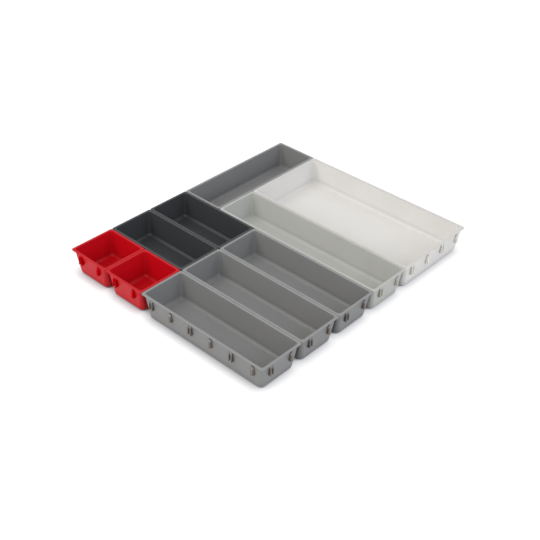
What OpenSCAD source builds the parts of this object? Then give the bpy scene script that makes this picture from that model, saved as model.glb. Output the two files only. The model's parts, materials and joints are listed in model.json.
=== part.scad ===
// Modular drawer organizer insert: ten drafted plastic trays that fill one square grid.
// Every wall carries snap sockets and studs, which lock a tray to its neighbours and let it lift straight out.
// Millimetres, +Z up, origin at the middle of the underside; X runs across the drawer and Y towards its back.

/* [Grid] */
// Grid pitch: side of the place that the smallest tray fills
pitch = 74; // [68:1:120]
// Gap between the rims of two neighbouring trays
rim_gap = 0.6; // [0.4:0.1:0.8]

/* [Tray] */
// Height of every tray
tray_h = 40; // [32:1:80]
// Thickness of the walls, measured level
wall_t = 1.5; // [1:0.1:2.5]
// Thickness of the floor
floor_t = 1.6; // [1:0.1:4]
// Lean of the walls, in degrees
draft = 6.5; // [2:0.5:8]
// Radius of the upright corners inside, at the rim
corner_r = 4; // [2:0.5:8]
// Radius along the outer wall's foot
base_r = 5; // [2:0.5:6]
// Radius where the floor turns up into the walls
floor_r = 5.5; // [2:0.5:7]

/* [Rim] */
// Distance from the edge of a place to the wall's outer face, at the rim
wall_inset = 2.2; // [1.5:0.1:3]
// Thickness of the rim
rim_t = 1.8; // [1.2:0.1:3]
// Radius of the rim's outer corners
rim_corner_r = 2.5; // [1:0.5:5]
// Bevel along the rim's upper edges
rim_bevel = 0.4; // [0.2:0.1:0.8]

/* [Clips] */
// Distance from the rim's top down to the clips' front faces
clip_drop = 9.5; // [8.5:0.5:12]
// Height of the clips' front faces
clip_h = 9.5; // [6:0.5:12]
// Extra height of a clip at the wall, above its front face
clip_slope = 5.5; // [2:0.5:5.5]
// Clearance between a lifted clip and the rim beside it
lift_clearance = 0.1; // [0.05:0.05:0.15]
// Clearance between the flanks of a stud and its socket
flank_clearance = 0.1; // [0.05:0.05:0.2]
// Slope of the locking flanks, in degrees
flank_angle = 45; // [20:5:60]
// Width of a socket
socket_w = 5.8; // [5.4:0.1:7.6]
// Width of a socket's mouth, between its jaws
mouth_w = 3; // [2.6:0.1:3.4]
// Thickness of a socket's side walls
socket_wall = 0.7; // [0.5:0.1:0.9]
// Depth of a socket's channel
channel_d = 2.2; // [1.4:0.1:2.8]
// Width of a stud's foot, on the wall
stud_w = 4; // [3:0.1:5]
// Length of a stud's neck, clear of the socket's jaws
neck_l = 0.6; // [0.3:0.1:1.2]

/* [Hidden] */
// Grid columns and rows, and every tray: name, colour, column, row, columns and rows filled
columns = 5;
rows = 6;
RED = "#be0516";
ANTHRACITE = "#323437";
GREY = "#818181";
LIGHT_GREY = "#b5b6b3";
WHITE = "#dfdcd6";
TRAYS = [
    ["red_tray_outer", RED, 0, 0, 1, 1],
    ["red_tray_inner", RED, 1, 0, 1, 1],
    ["anthracite_tray_front", ANTHRACITE, 0, 1, 2, 1],
    ["anthracite_tray_rear", ANTHRACITE, 0, 2, 2, 1],
    ["grey_tray_front", GREY, 2, 0, 3, 1],
    ["grey_tray_middle", GREY, 2, 1, 3, 1],
    ["grey_tray_rear", GREY, 2, 2, 3, 1],
    ["grey_tray_side", GREY, 0, 3, 1, 3],
    ["light_grey_tray", LIGHT_GREY, 1, 3, 4, 1],
    ["white_tray", WHITE, 1, 4, 4, 2],
];
// Clips are a warmer, darker shade of their tray's colour
CLIP_SHADES = [[RED, "#b4040f"], [ANTHRACITE, "#303235"], [GREY, "#726a62"],
               [LIGHT_GREY, "#a6a399"], [WHITE, "#dad7ce"]];

$fn = 48;
// Steps of a fillet, and fragments of the corners that it turns round
fillet_steps = 6;
corner_fragments = 32;
// Distance by which a cut runs past the faces that it opens
overcut = 1;
// Radius of the flat that a fillet leaves in the corners of the floor
corner_flat = 0.5;
// Where the first socket and the first stud stand, as shares of a place, from the left as seen from outside
SOCKET_AT = 0.25;
STUD_AT = 0.75;
lean = tan(draft);
rim_under = tray_h - rim_t;
clip_top = tray_h - clip_drop;
clip_bottom = clip_top - clip_h;
// How far jaws and heads reach past the edge of their own place
clip_reach = rim_gap / 2 - lift_clearance;
// Half widths of a stud, from the socket's mouth and the clearance along its flanks
flank_rise = 2 * clip_reach * tan(flank_angle);
neck_half = mouth_w / 2 - flank_clearance / cos(flank_angle);
head_half = neck_half + flank_rise;
channel_half = socket_w / 2 - socket_wall;

// Distance from the edge of a place to the wall's outer face at height z
function wall_at(z) = wall_inset + (tray_h - z) * lean;

// Copies of a round shape at the four corners of a place, each with its axis at an inset from two edges
module at_corners(size, inset)
    for (x = [inset, size.x - inset], y = [inset, size.y - inset])
        translate([x, y, 0]) children();

// Block with leaning walls, a fillet round its foot and rounded corners, from the height foot to the height top
module leaning_block(size, foot, fillet, flat_r, top, top_r, inset) {
    centre = foot + fillet;
    hull() {
        at_corners(size, wall_at(centre) + inset + fillet / cos(draft) + flat_r)
            rotate_extrude($fn = corner_fragments)
                polygon([[0, foot], for (i = [0:fillet_steps])
                    let (a = (90 - draft) * i / fillet_steps - 90)
                        [flat_r + fillet * cos(a), centre + fillet * sin(a)], [0, centre]]);
        at_corners(size, wall_at(top) + inset + top_r)
            translate([0, 0, top - overcut])
                cylinder(h = overcut, r1 = top_r / 2, r2 = top_r, $fn = corner_fragments);
    }
}

// Cutter for the bevel along the rim's inner edge: a flared block that crosses the inner wall
module bevel_cutter(size) {
    h = rim_bevel + 2 * overcut;
    r = corner_r - overcut;
    hull()
        at_corners(size, wall_at(tray_h - rim_bevel) + wall_t + corner_r)
            translate([0, 0, tray_h + overcut - h]) cylinder(h = h, r1 = r, r2 = r + h, $fn = corner_fragments);
}

// Sweep of a half section around a rectangle of corner axes, filled in the middle
module swept_block(span, foot, top) {
    corners = [[span.x, span.y], [0, span.y], [0, 0], [span.x, 0]];
    translate([0, 0, foot]) cube([span.x, span.y, top - foot]);
    for (i = [0:3])
        translate(corners[i]) rotate(90 * i) {
            rotate_extrude(angle = 90) children();
            rotate([90, 0, 0]) linear_extrude(i % 2 == 0 ? span.y : span.x) children();
        }
}

// Flat rim with square-looking corners, which covers the wall and the clips
module rim_plate(size) {
    edge = rim_gap / 2 + rim_corner_r;
    translate([edge, edge, 0])
        swept_block(size - 2 * [edge, edge], rim_under, tray_h)
            polygon([[0, rim_under], [rim_corner_r, rim_under], [rim_corner_r, tray_h - rim_bevel],
                     [rim_corner_r - rim_bevel, tray_h], [0, tray_h]]);
}

// One tray on its grid place: a leaning shell whose walls end inside the rim
module tray(columns_filled, rows_filled) {
    size = pitch * [columns_filled, rows_filled];
    difference() {
        union() {
            leaning_block(size, 0, base_r, corner_flat + wall_t, tray_h - rim_t / 2, corner_r + wall_t, 0);
            rim_plate(size);
        }
        leaning_block(size, floor_t, floor_r, corner_flat, tray_h + overcut, corner_r, wall_t);
        bevel_cutter(size);
    }
}

// Side shape of every clip: an upright front face, a sloping top, and a back that lies on the leaning wall
module clip_side() {
    high = clip_top + clip_slope;
    rotate([90, 0, 90]) linear_extrude(socket_w + stud_w, center = true)
        polygon([[-clip_reach, clip_bottom], [-clip_reach, clip_top], [wall_at(high), high],
                 [wall_at(clip_bottom), clip_bottom]]);
}

// A clip of the given plan, cut to its side shape
module clip(plan) {
    intersection() {
        translate([0, 0, clip_bottom]) linear_extrude(clip_h + clip_slope) polygon(plan);
        clip_side();
    }
}

// Socket: two jaws in front of a channel that is open above and below
module socket() {
    deep = wall_at(0);
    jaw = (channel_half - mouth_w / 2) / tan(flank_angle);
    clip([[-socket_w / 2, -clip_reach], [-mouth_w / 2, -clip_reach], [-channel_half, jaw - clip_reach],
          [-channel_half, channel_d - clip_reach], [channel_half, channel_d - clip_reach],
          [channel_half, jaw - clip_reach], [mouth_w / 2, -clip_reach], [socket_w / 2, -clip_reach],
          [socket_w / 2, deep], [-socket_w / 2, deep]]);
}

// Stud: a head that widens towards its tip, on a neck and a wider foot
module stud() {
    deep = wall_at(0);
    neck_end = clip_reach + neck_l;
    foot = neck_end + abs(stud_w / 2 - neck_half);
    clip([[-head_half, -clip_reach], [head_half, -clip_reach], [neck_half, clip_reach], [neck_half, neck_end],
          [stud_w / 2, foot], [stud_w / 2, deep], [-stud_w / 2, deep], [-stud_w / 2, foot],
          [-neck_half, neck_end], [-neck_half, clip_reach]]);
}

// Copies of a clip along the four walls of a tray, one on each place, at a share of the place from its left end
module along_walls(columns_filled, rows_filled, share) {
    size = pitch * [columns_filled, rows_filled];
    starts = [[0, 0], [size.x, 0], [size.x, size.y], [0, size.y]];
    for (side = [0:3])
        translate(starts[side]) rotate(90 * side)
            for (place = [0:(side % 2 == 0 ? columns_filled : rows_filled) - 1])
                translate([(place + share) * pitch, 0, 0]) children();
}

function clip_shade(shade) = CLIP_SHADES[search([shade], CLIP_SHADES)[0]][1];

for (t = TRAYS)
    translate([t[2] - columns / 2, t[3] - rows / 2, 0] * pitch) {
        color(t[1]) tray(t[4], t[5]);
        color(clip_shade(t[1])) along_walls(t[4], t[5], SOCKET_AT) socket();
        color(clip_shade(t[1])) along_walls(t[4], t[5], STUD_AT) stud();
    }
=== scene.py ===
# Modular drawer organizer insert: ten moulded trays on one square grid, with the snap clips on their walls.
# Metres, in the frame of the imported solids; every piece rides on the tray that it belongs to.

import json
import math

import bmesh
import bpy
from mathutils import Matrix, Vector

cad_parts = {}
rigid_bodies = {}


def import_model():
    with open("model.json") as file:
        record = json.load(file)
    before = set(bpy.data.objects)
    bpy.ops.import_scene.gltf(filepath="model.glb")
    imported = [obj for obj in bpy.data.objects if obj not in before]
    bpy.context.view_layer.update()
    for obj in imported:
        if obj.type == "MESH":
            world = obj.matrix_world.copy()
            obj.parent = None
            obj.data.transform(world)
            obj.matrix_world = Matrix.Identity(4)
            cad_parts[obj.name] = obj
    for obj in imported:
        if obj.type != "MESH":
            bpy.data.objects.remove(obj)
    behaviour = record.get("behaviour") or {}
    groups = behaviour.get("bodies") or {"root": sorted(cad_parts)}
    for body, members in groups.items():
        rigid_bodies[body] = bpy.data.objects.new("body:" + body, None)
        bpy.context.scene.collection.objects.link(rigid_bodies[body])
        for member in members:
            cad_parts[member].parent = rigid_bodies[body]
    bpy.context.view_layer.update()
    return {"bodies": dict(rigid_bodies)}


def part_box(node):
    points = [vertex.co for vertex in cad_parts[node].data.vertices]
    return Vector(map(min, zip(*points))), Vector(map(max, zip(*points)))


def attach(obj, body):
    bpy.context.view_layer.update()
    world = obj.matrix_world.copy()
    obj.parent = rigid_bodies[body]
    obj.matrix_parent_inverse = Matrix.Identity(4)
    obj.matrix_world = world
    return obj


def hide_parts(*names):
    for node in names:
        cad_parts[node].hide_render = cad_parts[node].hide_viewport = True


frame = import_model()


# Trays
# Ten open boxes of coloured plastic, each injection moulded in one shot with a fine matt grain.
# The walls lean so that a tray leaves its mould, and a flat rim round the top meets the next tray's rim.

MM = 0.001
rim_gap = 0.6 * MM
rim_thickness = 1.8 * MM
rim_corner_radius = 2.5 * MM
rim_edge_radius = 0.3 * MM
wall_inset = 2.2 * MM
wall_thickness = 1.5 * MM
floor_thickness = 1.6 * MM
draft = math.radians(6.5)
foot_radius = 5 * MM
floor_radius = 5.5 * MM
floor_corner_radius = 5.4 * MM
opening_corner_radius = 4 * MM
neck_radius = 0.4 * MM
tray_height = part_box("white_tray")[1].z
rim_under = tray_height - rim_thickness
corner_steps = 14
arc_steps = 6

# Each kind of tray: the colour of its walls, the colour of its rim, which is the wall colour with painted
# light or shade on the top, its gloss, and the painted tone of its floor
TRAY_PLASTICS = {
    "red": ("#c10516", "#be0516", 0.25, 1.03),
    "anthracite": ("#393b3d", "#393a3d", 0.4, 0.9),
    "grey": ("#808080", "#8c8c8c", 0.4, 1.15),
    "light_grey": ("#b5b6b1", "#b5b6b1", 0.4, 1.05),
    "white": ("#dad8d5", "#cccac7", 0.4, 1.0),
}


class Field:
    """A node's output that takes plain arithmetic, so that a tree's formulas read as formulas."""

    def __init__(self, socket):
        self.socket = socket

    def __add__(self, other):
        return formula("ADD", self, other)

    def __sub__(self, other):
        return formula("SUBTRACT", self, other)

    def __mul__(self, other):
        return formula("MULTIPLY", self, other)

    def __truediv__(self, other):
        return formula("DIVIDE", self, other)


def wire(tree, socket, value):
    """Sets a socket to a plain value, or wires a field or a node's output into it."""
    source = value.socket if isinstance(value, Field) else value
    if isinstance(source, bpy.types.NodeSocket):
        tree.links.new(source, socket)
    else:
        socket.default_value = source


def add_node(tree, kind, inputs=None, **settings):
    """A new node with its settings, and with inputs given by name or number."""
    node = tree.nodes.new(kind)
    for key, value in settings.items():
        setattr(node, key, value)
    for key, value in (inputs or {}).items():
        wire(tree, node.inputs[key], value)
    return node


def formula(operation, *terms):
    """One step of arithmetic on fields and plain numbers."""
    tree = next(term.socket.id_data for term in terms if isinstance(term, Field))
    return Field(add_node(tree, "ShaderNodeMath", dict(enumerate(terms)), operation=operation).outputs[0])


def remap(tree, value, from_min, from_max, to_min=0.0, to_max=1.0):
    """A value moved from one range into another, and held at the ends."""
    node = add_node(tree, "ShaderNodeMapRange", {"Value": value, "From Min": from_min, "From Max": from_max})
    wire(tree, node.inputs["To Min"], to_min)
    wire(tree, node.inputs["To Max"], to_max)
    return Field(node.outputs["Result"])


def vector(tree, x, y, z):
    """A vector from three fields or plain numbers."""
    return add_node(tree, "ShaderNodeCombineXYZ", {"X": x, "Y": y, "Z": z}).outputs["Vector"]


def by_index(tree, index, kind, choices):
    """The choice whose number is index."""
    switch = add_node(tree, "GeometryNodeIndexSwitch", data_type=kind)
    while len(switch.index_switch_items) < len(choices):
        switch.index_switch_items.new()
    wire(tree, switch.inputs["Index"], index)
    for number, choice in enumerate(choices):
        wire(tree, switch.inputs[str(number)], choice)
    return switch.outputs["Output"]


def new_tree(name, **kinds):
    """A geometry tree with a named input for each of its sizes: the tree, and those inputs as fields."""
    tree = bpy.data.node_groups.new(name, "GeometryNodeTree")
    tree.interface.new_socket("Geometry", in_out="OUTPUT", socket_type="NodeSocketGeometry")
    for label, kind in kinds.items():
        tree.interface.new_socket(label, in_out="INPUT", socket_type="NodeSocket" + kind)
    inlet = tree.nodes.new("NodeGroupInput")
    return tree, {label: Field(inlet.outputs[label]) for label in kinds}


def end_tree(tree, geometries, plastic):
    """Joins what a tree has made, makes it real and gives it its plastic."""
    weld_distance = 0.01 * MM
    join = tree.nodes.new("GeometryNodeJoinGeometry")
    for geometry in geometries:
        tree.links.new(geometry, join.inputs["Geometry"])
    weld = add_node(tree, "GeometryNodeMergeByDistance", {"Geometry": join.outputs[0]})
    wire(tree, weld.inputs["Distance"], weld_distance)
    smooth = add_node(tree, "GeometryNodeSetShadeSmooth", {"Geometry": weld.outputs[0]})
    real = add_node(tree, "GeometryNodeRealizeInstances", {"Geometry": smooth.outputs[0]})
    paint = add_node(tree, "GeometryNodeSetMaterial", {"Geometry": real.outputs[0], "Material": plastic})
    outlet = tree.nodes.new("NodeGroupOutput")
    tree.links.new(paint.outputs[0], outlet.inputs[0])


def grow(name, tree, **values):
    """Runs a tree with these inputs and keeps the result as a plain mesh, its flat faces shaded flat."""
    piece = bpy.data.objects.new(name, bpy.data.meshes.new(name))
    bpy.context.scene.collection.objects.link(piece)
    modifier = piece.modifiers.new("Tree", "NODES")
    modifier.node_group = tree
    for item in tree.interface.items_tree:
        if item.in_out == "INPUT":
            modifier[item.identifier] = values[item.name]
    piece.modifiers.new("Flat faces", "WEIGHTED_NORMAL")
    depsgraph = bpy.context.evaluated_depsgraph_get()
    mesh = bpy.data.meshes.new_from_object(piece.evaluated_get(depsgraph), depsgraph=depsgraph)
    piece.modifiers.clear()
    piece.data = mesh
    mesh.name = name
    # The first material slot is the empty one that a bare mesh starts with
    mesh.materials.pop(index=0)
    return piece


def tray_moulding_tree():
    """A tray from its sizes: one profile, up the wall, over the rim and down to the floor, swept round."""
    tree, size = new_tree(
        "Tray moulding",
        Left="Float", Front="Float", Width="Float", Depth="Float", Height="Float",
        Rim_gap="Float", Rim_thickness="Float", Rim_corner_radius="Float", Rim_edge_radius="Float",
        Wall_inset="Float", Wall_thickness="Float", Neck_radius="Float", Draft="Float", Foot_radius="Float",
        Floor_thickness="Float", Floor_radius="Float", Floor_corner_radius="Float",
        Opening_corner_radius="Float", Corner_steps="Int", Arc_steps="Int", Plastic="Material",
    )
    lean = formula("TANGENT", size["Draft"])
    rim_edge = size["Rim_gap"] / 2
    rim_foot = size["Height"] - size["Rim_thickness"]
    wall_foot = size["Wall_inset"] + size["Height"] * lean
    wall_neck = size["Wall_inset"] + size["Rim_thickness"] * lean
    inner_top = size["Wall_inset"] + size["Wall_thickness"]
    inner_foot = inner_top + (size["Height"] - size["Floor_thickness"]) * lean
    # Distances from the edge of the place to the points that the corners turn about: floor, opening and rim
    floor_axis = inner_foot + size["Floor_corner_radius"]
    opening_axis = inner_top + size["Opening_corner_radius"]
    rim_axis = rim_edge + size["Rim_corner_radius"]

    # The profile's corners, as distance in from the edge of the place, and height, each with its radius
    corners = [
        (floor_axis, 0, 0),
        (wall_foot, 0, size["Foot_radius"]),
        (wall_neck, rim_foot, size["Neck_radius"]),
        (rim_edge, rim_foot, size["Rim_edge_radius"]),
        (rim_edge, size["Height"], size["Rim_edge_radius"]),
        (inner_top, size["Height"], size["Rim_edge_radius"]),
        (inner_foot, size["Floor_thickness"], size["Floor_radius"]),
        (floor_axis, size["Floor_thickness"], 0),
    ]
    index = tree.nodes.new("GeometryNodeInputIndex").outputs[0]
    line = add_node(tree, "GeometryNodeMeshLine", {"Count": len(corners)})
    places = [vector(tree, inset, 0, height) for inset, height, radius in corners]
    bent = add_node(tree, "GeometryNodeSetPosition", {"Geometry": line.outputs[0]})
    wire(tree, bent.inputs["Position"], by_index(tree, index, "VECTOR", places))
    curve = add_node(tree, "GeometryNodeMeshToCurve", {"Mesh": bent.outputs[0]})
    radii = [radius for inset, height, radius in corners]
    rounded = add_node(tree, "GeometryNodeFilletCurve", {"Curve": curve.outputs[0]}, mode="POLY")
    wire(tree, rounded.inputs["Radius"], by_index(tree, index, "FLOAT", radii))
    wire(tree, rounded.inputs["Count"], size["Arc_steps"])
    points = add_node(tree, "GeometryNodeCurveToPoints", {"Curve": rounded.outputs[0]}, mode="EVALUATED")
    profile = points.outputs[0]
    counter = add_node(tree, "GeometryNodeAttributeDomainSize", component="POINTCLOUD")
    wire(tree, counter.inputs["Geometry"], profile)
    profile_count = Field(counter.outputs["Point Count"])

    # A strip: a column of profile points at each step of each corner, with the first column again at its end
    columns_a_corner = size["Corner_steps"] + 1
    strip = add_node(tree, "GeometryNodeMeshGrid")
    wire(tree, strip.inputs["Vertices X"], columns_a_corner * 4 + 1)
    wire(tree, strip.inputs["Vertices Y"], profile_count)
    column = formula("FLOOR", (Field(index) + 0.5) / profile_count)
    here = add_node(tree, "GeometryNodeSampleIndex", {"Geometry": profile}, data_type="FLOAT_VECTOR")
    wire(tree, here.inputs["Value"], tree.nodes.new("GeometryNodeInputPosition").outputs[0])
    wire(tree, here.inputs["Index"], Field(index) - column * profile_count)
    point = add_node(tree, "ShaderNodeSeparateXYZ", {"Vector": here.outputs[0]})
    inset = Field(point.outputs["X"])
    height = Field(point.outputs["Z"])
    # The corners lean with the walls, but the rim's outer edge turns about an axis of its own, more squarely
    wall_axis = remap(tree, height, size["Floor_radius"], size["Height"], floor_axis, opening_axis)
    on_rim_edge = formula("LESS_THAN", inset, (rim_edge + wall_neck) / 2)
    axis = wall_axis + on_rim_edge * (rim_axis - wall_axis)
    quarter = formula("FLOOR", (column + 0.5) / columns_a_corner)
    turn = (quarter + (column - quarter * columns_a_corner) / size["Corner_steps"]) * math.radians(90)
    diagonal = (quarter + 0.5) * math.radians(90)
    middle = (size["Left"] + size["Width"] / 2, size["Front"] + size["Depth"] / 2)
    x = middle[0] + formula("COSINE", turn) * (axis - inset)
    y = middle[1] + formula("SINE", turn) * (axis - inset)
    x = x + formula("SIGN", formula("COSINE", diagonal)) * (size["Width"] / 2 - axis)
    y = y + formula("SIGN", formula("SINE", diagonal)) * (size["Depth"] / 2 - axis)
    swept = add_node(tree, "GeometryNodeSetPosition", {"Geometry": strip.outputs[0]})
    wire(tree, swept.inputs["Position"], vector(tree, x, y, height))

    # The flat middle of the floor, from above and from below
    panel = add_node(tree, "GeometryNodeMeshGrid", {"Vertices X": 2, "Vertices Y": 2})
    wire(tree, panel.inputs["Size X"], size["Width"] - floor_axis * 2)
    wire(tree, panel.inputs["Size Y"], size["Depth"] - floor_axis * 2)
    above = add_node(tree, "GeometryNodeTransform", {"Geometry": panel.outputs[0]})
    wire(tree, above.inputs["Translation"], vector(tree, *middle, size["Floor_thickness"]))
    turned = add_node(tree, "GeometryNodeFlipFaces", {"Mesh": panel.outputs[0]})
    below = add_node(tree, "GeometryNodeTransform", {"Geometry": turned.outputs[0]})
    wire(tree, below.inputs["Translation"], vector(tree, *middle, 0))

    end_tree(tree, [swept.outputs[0], above.outputs[0], below.outputs[0]], size["Plastic"])
    return tree


def linear(hexadecimal):
    """A colour written as on screen, in the renderer's linear values."""
    shares = [int(hexadecimal[i:i + 2], 16) / 255 for i in (1, 3, 5)]
    return [s / 12.92 if s <= 0.04045 else ((s + 0.055) / 1.055) ** 2.4 for s in shares] + [1.0]


def ramp(tree, value, stops):
    """A colour that runs through stops, each a position and a colour."""
    node = add_node(tree, "ShaderNodeValToRGB", {"Fac": value})
    for position, colour in stops[1:-1]:
        node.color_ramp.elements.new(position)
    for element, (position, colour) in zip(node.color_ramp.elements, stops):
        element.position = position
        element.color = colour
    return node.outputs["Color"]


def patches(tree, place, size, detail):
    """Soft random patches of about this size, each from 0 to 1."""
    return add_node(
        tree, "ShaderNodeTexNoise", {"Vector": place, "Scale": 1 / size, "Detail": detail},
    ).outputs["Fac"]


def moulded_plastic(name, colour, upper_colour, gloss, painted_floor_tone, upper_from, upper_to):
    """Through-coloured plastic with a fine grain and painted light and shade on the floor and up its curve,
    which turns to its upper colour between two heights.
    """
    refractive_index = 1.5
    cloud_size = 45 * MM
    cloud_range = (0.3, 0.7)
    cloud_tones = (0.98, 1.02)
    sheen_size = 14 * MM
    roughness_range = (0.4, 0.5)
    grain_size = 0.5 * MM
    grain_depth = 0.05 * MM
    grain_strength = 0.25
    # A painted tone on the floor, lighter or darker as light falls there, and painted shade in the curve
    # above it: shares of the way up, with their tones
    painted_tones_top = 2 * floor_radius
    painted_floor_and_curve_tones = ((0, painted_floor_tone), (0.17, 0.91), (0.4, 0.89), (1, 1))
    material = bpy.data.materials.new(name)
    material.use_nodes = True
    tree = material.node_tree
    shader = tree.nodes["Principled BSDF"]
    shader.inputs["IOR"].default_value = refractive_index
    shader.inputs["Specular IOR Level"].default_value = gloss
    place = tree.nodes.new("ShaderNodeTexCoord").outputs["Object"]
    height = add_node(tree, "ShaderNodeSeparateXYZ", {"Vector": place}).outputs["Z"]

    # Colour: painted light and shade near the floor, and a little lighter and darker in broad clouds from the
    # melt
    upper = remap(tree, height, upper_from, upper_to)
    body = ramp(tree, upper, ((0, linear(colour)), (1, linear(upper_colour))))
    low = remap(tree, height, floor_thickness, painted_tones_top)
    painted_light_and_shade = ramp(tree, low, [(share, (tone, tone, tone, 1)) for share, tone in painted_floor_and_curve_tones])
    painted_body = add_node(tree, "ShaderNodeVectorMath", {0: body, 1: painted_light_and_shade}, operation="MULTIPLY")
    cloud = remap(tree, patches(tree, place, cloud_size, detail=3), *cloud_range, *cloud_tones)
    shade = add_node(tree, "ShaderNodeVectorMath", {0: painted_body.outputs["Vector"]}, operation="SCALE")
    wire(tree, shade.inputs["Scale"], cloud)
    wire(tree, shader.inputs["Base Color"], shade.outputs["Vector"])

    # Sheen: patches that are a little smoother or rougher
    sheen = remap(tree, patches(tree, place, sheen_size, detail=4), 0, 1, *roughness_range)
    wire(tree, shader.inputs["Roughness"], sheen)

    # Grain: shallow pits all over
    pits = add_node(tree, "ShaderNodeBump", {"Strength": grain_strength, "Distance": grain_depth})
    wire(tree, pits.inputs["Height"], patches(tree, place, grain_size, detail=2))
    wire(tree, shader.inputs["Normal"], pits.outputs["Normal"])
    return material


# The rims take their painted light or shade between the rim's underside and its top
tray_plastics = {
    kind: moulded_plastic("grained_" + kind, *finish, rim_under, tray_height)
    for kind, finish in TRAY_PLASTICS.items()
}
tray_tree = tray_moulding_tree()


def kind_of(tray):
    """The colour in a tray's name."""
    return tray.split("_tray")[0]


def place_of(tray):
    """The corner and the size of the grid places that a tray fills, from its solid's rim."""
    low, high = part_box(tray)
    return low.x - rim_gap / 2, low.y - rim_gap / 2, high.x - low.x + rim_gap, high.y - low.y + rim_gap


for tray in frame["bodies"]:
    left, front, width, depth = place_of(tray)
    moulding = grow(
        tray + "_moulding", tray_tree, Left=left, Front=front, Width=width, Depth=depth, Height=tray_height,
        Rim_gap=rim_gap, Rim_thickness=rim_thickness, Rim_corner_radius=rim_corner_radius,
        Rim_edge_radius=rim_edge_radius, Wall_inset=wall_inset, Wall_thickness=wall_thickness,
        Neck_radius=neck_radius, Draft=draft, Foot_radius=foot_radius, Floor_thickness=floor_thickness,
        Floor_radius=floor_radius, Floor_corner_radius=floor_corner_radius,
        Opening_corner_radius=opening_corner_radius, Corner_steps=corner_steps, Arc_steps=arc_steps,
        Plastic=tray_plastics[kind_of(tray)],
    )
    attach(moulding, tray)
    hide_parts(tray)


# Sockets
# Two jaws in front of a slot that is open above and below, moulded on every wall, one for each place.
# The stud of the next tray slides down into the slot and locks the two trays side by side.

pitch = 74 * MM
clip_drop = 9.5 * MM
clip_height = 9.5 * MM
clip_slope = 5.5 * MM
clip_edge_radius = 0.25 * MM
# How far a clip stands out past the edge of its place, and how far it is sunk into the wall
clip_reach = 0.2 * MM
clip_root = 0.3 * MM
clip_top = tray_height - clip_drop
clip_bottom = clip_top - clip_height
socket_width = 5.8 * MM
socket_wall = 0.7 * MM
mouth_width = 3 * MM
slot_width = socket_width - 2 * socket_wall
slot_depth = 2.2 * MM
socket_share = 0.25

# Clips are coloured apart from their tray, mostly warmer: darker on the grey and anthracite trays as painted
# shade, lighter on the light grey and white trays as painted light against their shade, with the tray's
# colour just above their front faces.
# Each kind of clip: its colour with that painted light or shade, its gloss, and how much of the light passes
# through so thin a piece
painted_tone_end = clip_top + 1 * MM
light_depth = 1.5 * MM
CLIP_PLASTICS = {
    "red": ("#c00410", 0.05, 1.0),
    "anthracite": ("#303235", 0.4, 0.0),
    "grey": ("#726a62", 0.4, 0.0),
    "light_grey": ("#bfbcb1", 0.3, 0.0),
    "white": ("#e8e5dc", 0.2, 0.0),
}


def clip_shape(name, plan):
    """A clip on its seam, from half of its plan: half widths and ways inwards, with None for the wall."""
    shape = bmesh.new()
    lean = math.tan(draft)
    wall_low = wall_inset + (tray_height - clip_bottom) * lean
    wall_high = wall_inset + (tray_height - clip_top - clip_slope) * lean
    low_ring = []
    high_ring = []
    left_half = [(-half, inwards) for half, inwards in plan]
    right_half = [(half, inwards) for half, inwards in reversed(plan)]
    for along, inwards in left_half + right_half:
        for ring, front, rise, wall in (
            (low_ring, clip_bottom, 0, wall_low), (high_ring, clip_top, clip_slope, wall_high),
        ):
            deep = wall + clip_root if inwards is None else inwards
            share = (deep + clip_reach) / (wall + clip_reach)
            ring.append(shape.verts.new((along, deep, front + rise * share)))
    shape.faces.new(high_ring)
    shape.faces.new(reversed(low_ring))
    count = len(low_ring)
    for i in range(count):
        j = (i + 1) % count
        shape.faces.new((low_ring[i], low_ring[j], high_ring[j], high_ring[i]))
    bmesh.ops.recalc_face_normals(shape, faces=shape.faces)
    sharp = [edge for edge in shape.edges if max(vert.co.y for vert in edge.verts) < wall_high]
    bmesh.ops.bevel(shape, geom=sharp, offset=clip_edge_radius, segments=2, profile=0.5, affect="EDGES",
                    clamp_overlap=True)
    mesh = bpy.data.meshes.new(name)
    shape.to_mesh(mesh)
    shape.free()
    return bpy.data.objects.new(name, mesh)


def clips_along_walls_tree():
    """One clip for each place along the four walls of a tray, at a share of the place from its left end."""
    tree, size = new_tree(
        "Clips along walls", Clip="Object", Left="Float", Front="Float", Columns="Int", Rows="Int",
        Pitch="Float", Share="Float", Plastic="Material",
    )
    clip = add_node(tree, "GeometryNodeObjectInfo", {"Object": size["Clip"], "As Instance": True})
    first = vector(tree, size["Pitch"] * size["Share"], 0, 0)
    step = vector(tree, size["Pitch"], 0, 0)
    right = size["Left"] + size["Pitch"] * size["Columns"]
    back = size["Front"] + size["Pitch"] * size["Rows"]
    starts = [(size["Left"], size["Front"]), (right, size["Front"]), (right, back), (size["Left"], back)]
    walls = []
    for side, start in enumerate(starts):
        row = add_node(tree, "GeometryNodeMeshLine", {"Start Location": first, "Offset": step})
        wire(tree, row.inputs["Count"], size["Rows"] if side % 2 else size["Columns"])
        copies = add_node(tree, "GeometryNodeInstanceOnPoints", {"Points": row.outputs[0]})
        wire(tree, copies.inputs["Instance"], clip.outputs["Geometry"])
        wall = add_node(tree, "GeometryNodeTransform", {"Geometry": copies.outputs[0]})
        wire(tree, wall.inputs["Translation"], vector(tree, *start, 0))
        wire(tree, wall.inputs["Rotation"], (0, 0, math.radians(90 * side)))
        walls.append(wall.outputs[0])
    end_tree(tree, walls, size["Plastic"])
    return tree


def snap_on(clip, kind_of_clip, share):
    """Copies of a clip on the walls of every tray, in place of the solids that stand for them."""
    for tray in frame["bodies"]:
        left, front, width, depth = place_of(tray)
        row = grow(
            tray + "_" + kind_of_clip + "_row", clip_tree, Clip=clip, Left=left, Front=front,
            Columns=round(width / pitch), Rows=round(depth / pitch), Pitch=pitch, Share=share,
            Plastic=clip_plastics[kind_of(tray)],
        )
        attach(row, tray)
        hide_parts(tray + "_" + kind_of_clip + "s")
    bpy.data.objects.remove(clip)


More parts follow.
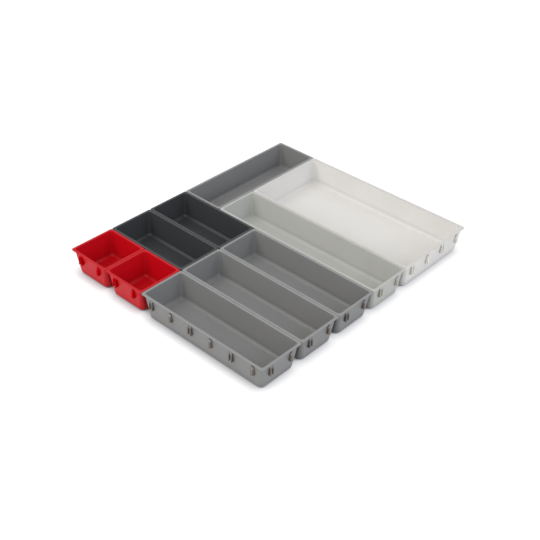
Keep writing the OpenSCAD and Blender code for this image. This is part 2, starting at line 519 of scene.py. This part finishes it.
clip_plastics = {}
for kind, (colour, gloss, passing) in CLIP_PLASTICS.items():
    tray_colour = TRAY_PLASTICS[kind][0]
    plastic = moulded_plastic(
        "grained_" + kind + "_clip", colour, tray_colour, gloss, painted_floor_tone=1.0,
        upper_from=clip_top, upper_to=painted_tone_end,
    )
    clip_shader = plastic.node_tree.nodes["Principled BSDF"]
    clip_shader.inputs["Subsurface Weight"].default_value = passing
    clip_shader.inputs["Subsurface Radius"].default_value = (1, 1, 1)
    clip_shader.inputs["Subsurface Scale"].default_value = light_depth
    clip_plastics[kind] = plastic
clip_tree = clips_along_walls_tree()
jaw = slot_width / 2 - mouth_width / 2
socket_plan = [
    (slot_width / 2, slot_depth - clip_reach),
    (slot_width / 2, jaw - clip_reach),
    (mouth_width / 2, -clip_reach),
    (socket_width / 2, -clip_reach),
    (socket_width / 2, None),
]
snap_on(clip_shape("socket", socket_plan), "socket", socket_share)


# Studs
# A head that widens towards its tip, on a neck and a wider foot, moulded beside every socket.
# It drops into the socket of the next tray, and its sloping flanks keep the two walls together.

stud_width = 4 * MM
neck_length = 0.6 * MM
flank_clearance = 0.1 * MM
stud_share = 0.75
# The flanks slope at 45 degrees, and the clearance is square to them
neck_half = mouth_width / 2 - flank_clearance * math.sqrt(2)
head_half = neck_half + 2 * clip_reach
neck_end = clip_reach + neck_length
stud_plan = [
    (head_half, -clip_reach),
    (neck_half, clip_reach),
    (neck_half, neck_end),
    (stud_width / 2, neck_end + stud_width / 2 - neck_half),
    (stud_width / 2, None),
]
snap_on(clip_shape("stud", stud_plan), "stud", stud_share)


# Floor
# A wide sheet of plain white paper under the trays, as in a studio; it is no part of the object.
# It shows white in the picture, keeps a share of the trays' real shadow, and has a painted soft shadow round
# their feet.

floor_half = 12
floor_drop = 0.1 * MM
# The paper's tone for the light that it throws on the trays, and its tone and glow in the picture
paper_tone = 0.78
paper_seen = 0.3
paper_glow = 0.84
# Painted shadow from the trays' feet out to the open: how clear the paper is, and the painted shade there
contact_distance = 16 * MM
painted_shadow_stops = (
    (0.2, (0.25, 0.25, 0.27, 1)),
    (0.42, (0.43, 0.43, 0.46, 1)),
    (1, (1, 1, 1, 1)),
)
cover_distance = 60 * MM
cover_dark = 0.1
cover_clear = 0.36
# Leant to the right and the back, which spreads the painted shade to the front and the left
shade_normal = (0.2, 0.2, 1)
floor_mesh = bpy.data.meshes.new("studio_floor")
floor_signs = ((-1, -1), (1, -1), (1, 1), (-1, 1))
floor_corners = [(x * floor_half, y * floor_half, -floor_drop) for x, y in floor_signs]
floor_mesh.from_pydata(floor_corners, [], [(0, 1, 2, 3)])
studio_floor = bpy.data.objects.new("studio_floor", floor_mesh)
bpy.context.scene.collection.objects.link(studio_floor)
paper = bpy.data.materials.new("studio_paper")
paper.use_nodes = True
paper_tree = paper.node_tree
paper_shader = paper_tree.nodes["Principled BSDF"]
paper_shader.inputs["Roughness"].default_value = 1.0
paper_shader.inputs["Specular IOR Level"].default_value = 0.0


def seen_directly(tree):
    """1 for what the camera sees, also in a gloss or through a clear piece, and 0 for light on the object."""
    path = tree.nodes.new("ShaderNodeLightPath")
    seen = formula("MAXIMUM", Field(path.outputs["Is Camera Ray"]), Field(path.outputs["Is Glossy Ray"]))
    return formula("MAXIMUM", seen, Field(path.outputs["Is Transmission Ray"]))


# The picture shows a white glow with a painted shadow where a tray stands close, and a share of the real
# light on the paper
leaning_up = vector(paper_tree, *shade_normal)
contact = add_node(paper_tree, "ShaderNodeAmbientOcclusion", {"Distance": contact_distance})
wire(paper_tree, contact.inputs["Normal"], leaning_up)
painted_contact_shadow = ramp(paper_tree, contact.outputs["AO"], painted_shadow_stops)
seen = seen_directly(paper_tree)
wire(paper_tree, paper_shader.inputs["Base Color"], seen * (paper_seen - paper_tone) + paper_tone)
wire(paper_tree, paper_shader.inputs["Emission Color"], painted_contact_shadow)
# Between two trays, under their rims, the glow is taken away: painted shade
cover = add_node(paper_tree, "ShaderNodeAmbientOcclusion", {"Distance": cover_distance})
wire(paper_tree, cover.inputs["Normal"], leaning_up)
glow_under_painted_shade = remap(paper_tree, cover.outputs["AO"], cover_dark, cover_clear)
wire(paper_tree, paper_shader.inputs["Emission Strength"], seen * paper_glow * glow_under_painted_shade)
floor_mesh.materials.append(paper)


# Light
# Two broad soft lamps, left and right of the camera, in a pale room that fills in the rest.
# The left lamp is the stronger and a little warm, and the right one a little cool.

room_light = 0.6
lamp_spread = math.radians(40)
world = bpy.data.worlds.new("studio_room")
bpy.context.scene.world = world
world.use_nodes = True
backdrop = world.node_tree.nodes["Background"]
backdrop.inputs["Color"].default_value = (1, 1, 1, 1)
room_strength = seen_directly(world.node_tree) * (1 - room_light) + room_light
wire(world.node_tree, backdrop.inputs["Strength"], room_strength)

for lamp_name, towards, power, tint in (
    ("lamp_left", (-0.22, -0.71, 0.67), 1.5, (1.02, 1.0, 0.955)),
    ("lamp_right", (0.86, 0.10, 0.49), 0.94, (0.935, 0.985, 1.085)),
):
    lamp = bpy.data.lights.new(lamp_name, "SUN")
    lamp.energy = power
    lamp.angle = lamp_spread
    lamp.color = tint
    lamp_object = bpy.data.objects.new(lamp_name, lamp)
    bpy.context.scene.collection.objects.link(lamp_object)
    lamp_object.rotation_euler = Vector(towards).to_track_quat("Z", "Y").to_euler()

bpy.context.scene.view_settings.view_transform = "Standard"


# Camera
# It looks down over the corner where the front and right walls meet, and is rolled a little.
# Its place and lens are fitted to the rims in the photograph.

camera_azimuth = math.radians(41.47)
camera_elevation = math.radians(35.99)
camera_roll = math.radians(1.79)
camera_distance = 1.3460
camera_target = Vector((50.4 * MM, -61.7 * MM, tray_height))
sensor_width_mm = 36
focal_length_mm = 64.76
towards_camera = Vector((
    math.sin(camera_azimuth) * math.cos(camera_elevation),
    -math.cos(camera_azimuth) * math.cos(camera_elevation),
    math.sin(camera_elevation),
))
camera_data = bpy.data.cameras.new("photo_camera")
camera_data.sensor_width = sensor_width_mm
camera_data.lens = focal_length_mm
camera = bpy.data.objects.new("photo_camera", camera_data)
bpy.context.scene.collection.objects.link(camera)
aim = (-towards_camera).to_track_quat("-Z", "Y").to_matrix() @ Matrix.Rotation(camera_roll, 3, "Z")
camera.matrix_world = Matrix.Translation(camera_target + towards_camera * camera_distance) @ aim.to_4x4()
bpy.context.scene.camera = camera
